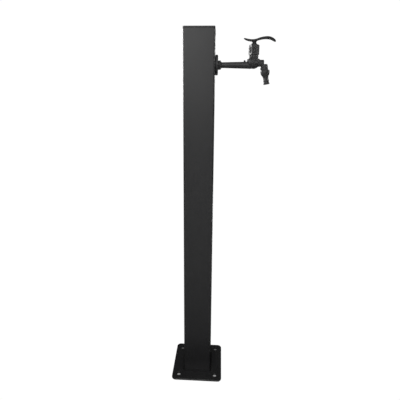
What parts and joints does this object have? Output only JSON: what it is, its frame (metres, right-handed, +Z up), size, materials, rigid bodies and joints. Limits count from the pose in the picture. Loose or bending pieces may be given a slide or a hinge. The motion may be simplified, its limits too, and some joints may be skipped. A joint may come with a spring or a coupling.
{
  "type": "garden standpipe",
  "caption": "Square steel post on a bolted foot plate, with a quarter-turn lever tap and a screw-on hose nozzle near its top, fed by a riser pipe inside the post.",
  "frame": {"origin": "centre of the foot plate's underside, on the post's axis", "axes": "+Z up along the post, +X from the post towards the tap's outlet"},
  "size_m": [0.2697, 0.15, 1],
  "materials": {
    "powder_coated_steel": "satin black powder coat",
    "powder_coated_brass": "satin black powder coat over cast brass",
    "black_plastic": "matte moulded",
    "brass": "turned",
    "copper": "drawn copper pipe",
    "steel": "plain",
    "rubber": "moulded",
    "ceramic": "lapped"
  },
  "bodies": {
    "stand": {"base_plate": "powder_coated_steel", "post_tube": "powder_coated_steel", "base_weld": "powder_coated_steel", "inlet_socket": "powder_coated_steel", "wall_rosette": "powder_coated_brass", "tap_body": "powder_coated_brass", "bonnet": "powder_coated_brass", "post_cap": "black_plastic", "inlet_adapter": "brass", "lower_compression_nut": "brass", "lower_olive": "brass", "upper_compression_nut": "brass", "upper_olive": "brass", "riser_elbow": "brass", "back_nut": "brass", "cartridge_body": "brass", "riser_pipe": "copper", "inner_washer": "steel", "wall_gasket": "rubber", "seat_seal": "rubber", "cartridge_o_ring": "rubber", "fixed_disc": "ceramic"},
    "valve_lever": {"moving_disc": "ceramic", "spindle": "brass", "spindle_o_rings": "rubber", "stop_ring": "steel", "spindle_circlip": "steel", "lever": "powder_coated_brass", "lever_screw": "steel"},
    "nozzle_seal": {"nozzle_washer": "rubber"},
    "nozzle": {"hose_nozzle": "powder_coated_brass"}
  },
  "joints": [
    {"name": "lever_turn", "type": "hinge", "parent": "stand", "child": "valve_lever", "pos_m": [0.14, 0, 0.913], "axis": [0, 0, 1], "range_deg": [0, 90]},
    {"name": "nozzle_travel", "type": "slide", "parent": "stand", "child": "nozzle_seal", "axis": [0.1736, 0, -0.9848], "range_m": [0, 0.0087]},
    {"name": "nozzle_unscrew", "type": "hinge", "parent": "nozzle_seal", "child": "nozzle", "pos_m": [0.17018, 0, 0.89998], "axis": [0.1736, 0, -0.9848], "range_deg": [0, 2340]}
  ],
  "couplings": [
    {"joint": "nozzle_travel", "follows": "nozzle_unscrew", "m_per_rad": 0.00021279}
  ]
}
